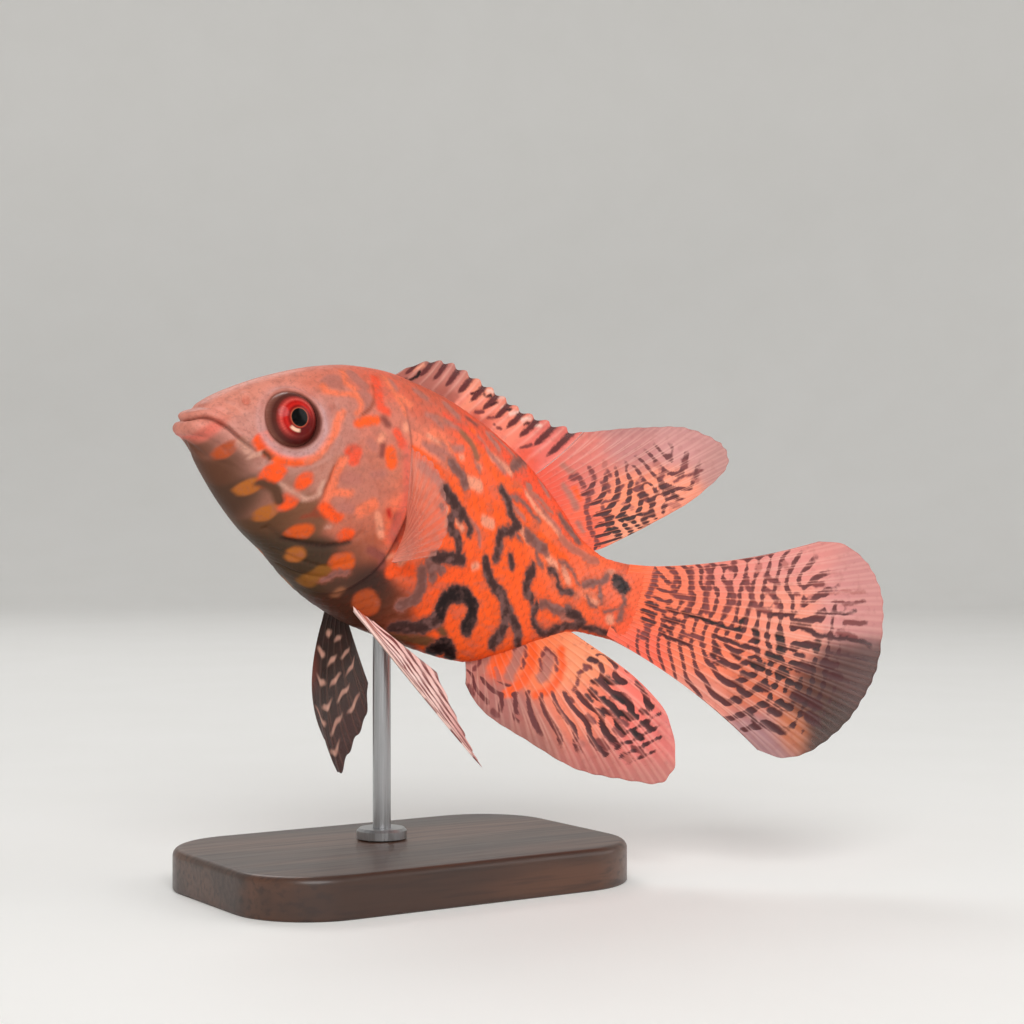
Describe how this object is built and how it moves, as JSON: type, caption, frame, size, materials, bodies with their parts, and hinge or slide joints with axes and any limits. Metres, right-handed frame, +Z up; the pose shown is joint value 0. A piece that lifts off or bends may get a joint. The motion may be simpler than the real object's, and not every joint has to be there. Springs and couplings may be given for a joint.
{
  "type": "oscar fish model",
  "caption": "Life-size still model of a young red tiger oscar fish, head up and tail swung to its left, held over a flat wooden base by a steel rod.",
  "frame": {"origin": "centre of the whole model's box, at the level the base stands on", "axes": "+Z up, +X towards the tail along the trunk, the head towards -X, the fish's left side towards -Y"},
  "size_m": [0.1308, 0.0785, 0.1036],
  "materials": {
    "skin": "moist scaled skin, bright orange on grey brown with a pink head, semi gloss",
    "fin": "thin rayed membrane, salmon pink with dark wavy bars, slightly see-through at the rim",
    "eye": "clear glossy eye, red iris with a thin gold ring round a black pupil",
    "base": "dark stained, satin varnish",
    "rod": "fine brushed"
  },
  "bodies": {
    "root": {"head": "skin", "trunk": "skin", "tail_stem": "skin", "eye_left": "eye", "eye_right": "eye", "dorsal_fin_spiny": "fin", "dorsal_fin_soft": "fin", "anal_fin": "fin", "tail_fin": "fin", "pectoral_fin_left": "fin", "pectoral_fin_right": "fin", "pelvic_fin_left": "fin", "pelvic_fin_right": "fin", "stand_base": "base", "stand_rod": "rod"}
  },
  "joints": []
}
